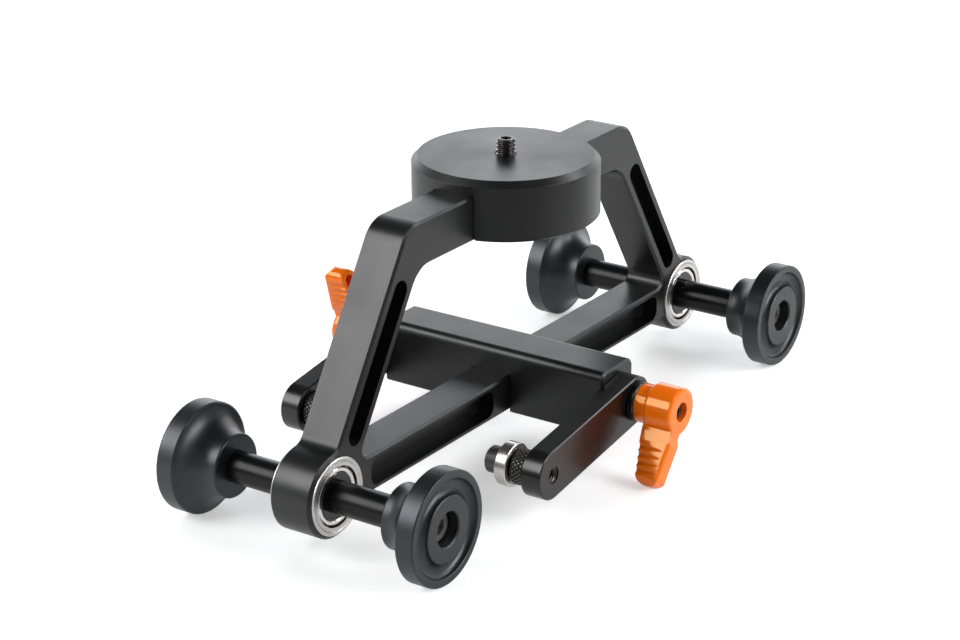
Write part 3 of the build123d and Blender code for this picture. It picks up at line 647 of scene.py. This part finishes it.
FLOOR_GLOW = 0.42  # added to the floor where the camera sees it
MIRRORED_GLOW = 0.30  # added in reflections, except on the dim side
FLOOR_SHADE = 0.55  # how much darker the floor is on the dim side, which the camera doesn't see
DIM_SIDE = (-0.45, -0.89, 0)
DIM_FROM = (0.06, 0.20)  # distances towards that side at which the shade begins and is full
GLOW_UNTIL = (0.03, 0.20)  # the same for the mirrored glow, which fades out
WALL_DIRECTION = (0.825, 0.566, 0)  # straight away from the camera
WALL_SIDES = (0.35, 0.80)  # cosines off that direction at which the wall is gone and is full
WALL_TOP = (0.55, 0.36)  # the same for its upper edge, measured from straight up
WALL_RADIANCE = 2.3
ROOM_RADIANCE = 0.42
CEILING = (0.42, 0.62)  # sines of the heights at which the room turns into the dark ceiling
CEILING_RADIANCE = 0.10


def floor():
    """A pale sweep. The camera sees it nearly burnt out, with faint shadows, and the object's
    black faces mirror it darker on the dim side."""
    size = 6.0
    mesh = bpy.data.meshes.new("floor")
    corners = [(-size, -size, 0), (size, -size, 0), (size, size, 0), (-size, size, 0)]
    mesh.from_pydata(corners, [], [(0, 1, 2, 3)])
    shader = Shader("pale_floor")
    cloud = shader.noise(scale=3.0, detail=2.0)
    towards_dim = shader.node("ShaderNodeVectorMath", {"operation": "DOT_PRODUCT"})
    shader.put(towards_dim.inputs[0], shader.position)
    shader.put(towards_dim.inputs[1], DIM_SIDE)
    distance = towards_dim.outputs["Value"]
    shaded = shader.remap(distance, *DIM_FROM, 0.0, FLOOR_SHADE)
    mirrored_glow = shader.remap(distance, *GLOW_UNTIL, MIRRORED_GLOW, 0.0)
    base = shader.mix_colour(cloud, (0.86, 0.86, 0.865, 1.0), (0.89, 0.89, 0.89, 1.0))
    base = shader.mix_colour(shaded, base, (0.0, 0.0, 0.0, 1.0))
    shader.finish(Base_Color=base, Roughness=0.5, Specular_IOR_Level=0.2)
    path = shader.node("ShaderNodeLightPath")
    glow = shader.math("ADD", FLOOR_GLOW, shaded)
    glow = shader.math("MULTIPLY", path.outputs["Is Camera Ray"], glow)
    mirrored_glow = shader.math("MULTIPLY", path.outputs["Is Glossy Ray"], mirrored_glow)
    glow = shader.math("ADD", glow, mirrored_glow)
    shader.finish(Emission_Color=(1.0, 1.0, 1.0, 1.0), Emission_Strength=glow)
    mesh.materials.append(shader.material)
    plane = bpy.data.objects.new("floor", mesh)
    bpy.context.scene.collection.objects.link(plane)


def world():
    """A dim room with one broad bright wall, low behind the object as the camera sees it."""
    made = bpy.data.worlds.new("studio")
    made.use_nodes = True
    tree = made.node_tree
    background = tree.nodes["Background"]
    direction = tree.nodes.new("ShaderNodeTexCoord").outputs["Generated"]

    def share(vector, gone, full):
        """Rises smoothly from 0 to 1 with the cosine between a direction and a vector."""
        cosine = tree.nodes.new("ShaderNodeVectorMath")
        cosine.operation = "DOT_PRODUCT"
        tree.links.new(direction, cosine.inputs[0])
        cosine.inputs[1].default_value = vector
        step = tree.nodes.new("ShaderNodeMapRange")
        step.interpolation_type = "SMOOTHSTEP"
        tree.links.new(cosine.outputs["Value"], step.inputs["Value"])
        step.inputs["From Min"].default_value = gone
        step.inputs["From Max"].default_value = full
        return step.outputs["Result"]

    across = share(Vector(WALL_DIRECTION).normalized(), *WALL_SIDES)
    below_top = share((0, 0, 1), *WALL_TOP)
    wall = tree.nodes.new("ShaderNodeMath")
    wall.operation = "MULTIPLY"
    tree.links.new(across, wall.inputs[0])
    tree.links.new(below_top, wall.inputs[1])
    room = tree.nodes.new("ShaderNodeMapRange")
    tree.links.new(share((0, 0, 1), *CEILING), room.inputs["Value"])
    room.inputs["To Min"].default_value = ROOM_RADIANCE
    room.inputs["To Max"].default_value = CEILING_RADIANCE
    radiance = tree.nodes.new("ShaderNodeMapRange")
    tree.links.new(wall.outputs[0], radiance.inputs["Value"])
    tree.links.new(room.outputs["Result"], radiance.inputs["To Min"])
    radiance.inputs["To Max"].default_value = WALL_RADIANCE
    tree.links.new(radiance.outputs["Result"], background.inputs["Strength"])
    background.inputs["Color"].default_value = (0.96, 0.98, 1.02, 1.0)
    bpy.context.scene.world = made


def softbox(name, direction, distance, width, height, radiance):
    """A rectangular light that faces the middle of the object."""
    lamp = bpy.data.lights.new(name, "AREA")
    lamp.shape = "RECTANGLE"
    lamp.size = width
    lamp.size_y = height
    lamp.energy = radiance * math.pi * width * height
    holder = bpy.data.objects.new(name, lamp)
    aim = Vector((0, 0, cad_high.z / 2))
    towards = Vector(direction).normalized()
    holder.location = aim + towards * distance
    holder.rotation_mode = "QUATERNION"
    holder.rotation_quaternion = towards.to_track_quat("Z", "Y")
    bpy.context.scene.collection.objects.link(holder)


def camera():
    """The viewing angle: from the rear right, a little above, with a long lens."""
    azimuth = math.radians(-55.55)
    elevation = math.radians(21.47)
    roll = math.radians(-0.31)
    distance = 0.8211
    height = 45 * MM
    shift_right = -8.36 * MM
    shift_up = -6.09 * MM
    level = Vector((math.sin(azimuth), -math.cos(azimuth), 0))
    back = level * math.cos(elevation) + Vector((0, 0, math.sin(elevation)))
    right = Vector((math.cos(azimuth), math.sin(azimuth), 0))
    up = back.cross(right)
    right, up = (
        right * math.cos(roll) + up * math.sin(roll),
        up * math.cos(roll) - right * math.sin(roll),
    )
    aim = Vector((0, 0, height)) + right * shift_right + up * shift_up
    lens = bpy.data.cameras.new("camera")
    lens.sensor_width = 36.0
    lens.lens = 96.4
    lens.clip_start = 0.05
    lens.clip_end = 50.0
    holder = bpy.data.objects.new("camera", lens)
    place = Matrix((right, up, back)).transposed().to_4x4()
    place.translation = aim + back * distance
    holder.matrix_world = place
    bpy.context.scene.collection.objects.link(holder)
    bpy.context.scene.camera = holder


floor()
world()
softbox("key", (-0.67, 0.53, 0.56), distance=1.3, width=0.8, height=0.7, radiance=7.0)
softbox("edge", (0.617, -0.477, 0.625), distance=1.3, width=0.32, height=0.32, radiance=9.0)
softbox("fill", (0.20, -0.88, 0.42), distance=1.2, width=0.7, height=0.6, radiance=9.0)
camera()
bpy.context.scene.view_settings.view_transform = "Standard"
